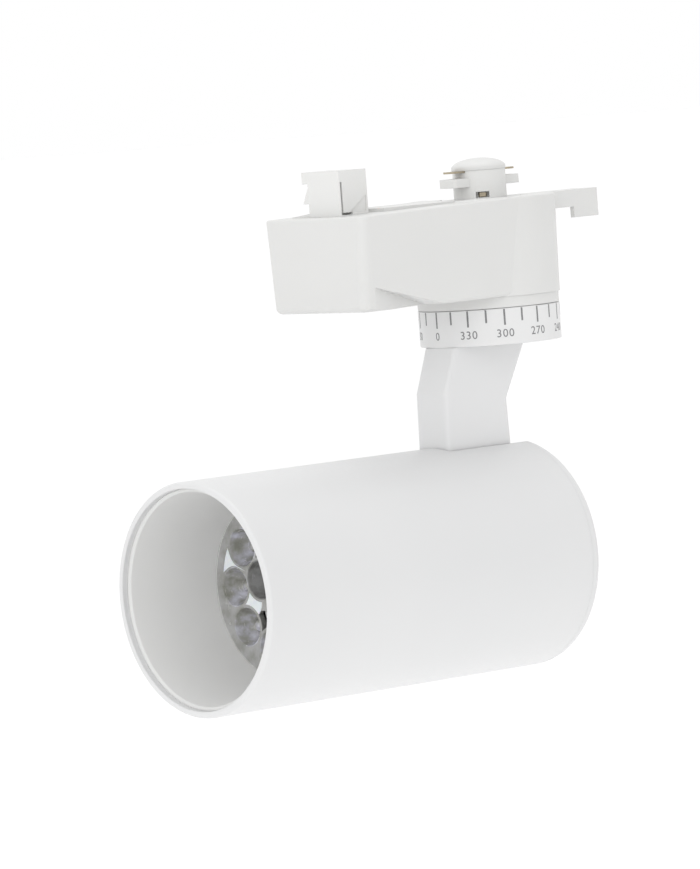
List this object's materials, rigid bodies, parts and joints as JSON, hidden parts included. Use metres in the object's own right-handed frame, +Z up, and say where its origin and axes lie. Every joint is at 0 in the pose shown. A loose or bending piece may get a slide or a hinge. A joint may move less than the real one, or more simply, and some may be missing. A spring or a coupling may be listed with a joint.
{
  "type": "track spotlight",
  "caption": "Cylindrical spotlight on a tilting arm and a graduated turntable, hung from a track adapter box with a quarter-turn lock knob and lever.",
  "frame": {"origin": "on the lock knob's axis, in the plane of the adapter's raised seat pad, which rests against the track", "axes": "+Z up into the track, -X the way the lamp shines at rest and towards the adapter's tower, +X the way the lock lever points at rest, Y across the track"},
  "size_m": [0.1817, 0.075, 0.1678],
  "materials": {
    "white_plastic": "fine satin moulding, warm white",
    "white_paint": "satin powder coat, neutral white, on aluminium",
    "dial_plastic": "satin, with grey printed scale",
    "cone_white": "matt white liner",
    "lens_acrylic": "clear, faceted, silvery cups",
    "black_plastic": "matt black moulding",
    "nylon": "natural nylon",
    "circuit_board": "solder resist",
    "capacitor_sleeve": "shrink sleeve",
    "ferrite": "sintered ferrite and tape",
    "led_phosphor": "phosphor gel",
    "aluminium": "raw extruded aluminium",
    "zinc_steel": "zinc plated steel",
    "brass": "dull sprung brass"
  },
  "bodies": {
    "adapter": {"adapter_shell": "white_plastic", "bottom_cover": "white_plastic", "bearing_collar": "white_plastic", "tower_insert": "white_plastic", "terminal_block": "black_plastic", "driver_board": "circuit_board", "driver_capacitor": "capacitor_sleeve", "driver_inductor": "ferrite", "driver_transformer": "ferrite", "collar_screws": "zinc_steel", "cover_screws": "zinc_steel", "tower_contacts": "brass", "terminal_screws": "zinc_steel", "board_standoffs": "white_plastic", "board_screws": "zinc_steel"},
    "lock": {"lock_core": "white_plastic", "lock_cap": "white_plastic", "side_contact": "brass", "lock_lever": "white_plastic", "lock_retainer": "zinc_steel", "lock_screw": "zinc_steel", "contact_blades": "brass"},
    "turntable": {"dial_ring": "dial_plastic", "arm": "white_paint", "turn_hub": "zinc_steel", "stop_pin": "zinc_steel", "dial_friction_washer": "nylon", "stud_washer": "zinc_steel", "stud_nut": "zinc_steel", "hub_screws": "zinc_steel"},
    "head": {"lamp_tube": "white_paint", "rear_cap": "white_paint", "heat_sink": "aluminium", "led_board": "aluminium", "lens_array": "lens_acrylic", "lens_holder": "black_plastic", "anti_glare_cone": "cone_white", "pivot_bracket": "zinc_steel", "pivot_pin": "zinc_steel", "pin_clip": "zinc_steel", "tube_screws": "zinc_steel", "cap_screws": "zinc_steel", "led_board_screws": "zinc_steel", "led_packages": "led_phosphor", "bracket_screws": "zinc_steel", "tilt_washers": "nylon"}
  },
  "joints": [
    {"name": "dial_turn", "type": "hinge", "parent": "adapter", "child": "turntable", "pos_m": [0, 0, -0.0356], "axis": [0, 0, 1], "range_deg": [-170, 170]},
    {"name": "head_tilt", "type": "hinge", "parent": "turntable", "child": "head", "pos_m": [-0.0148, 0, -0.1024], "axis": [0, -1, 0], "range_deg": [0, 90]},
    {"name": "lock_turn", "type": "hinge", "parent": "adapter", "child": "lock", "pos_m": [0, 0, 0], "axis": [0, 0, 1], "range_deg": [0, 90]}
  ]
}
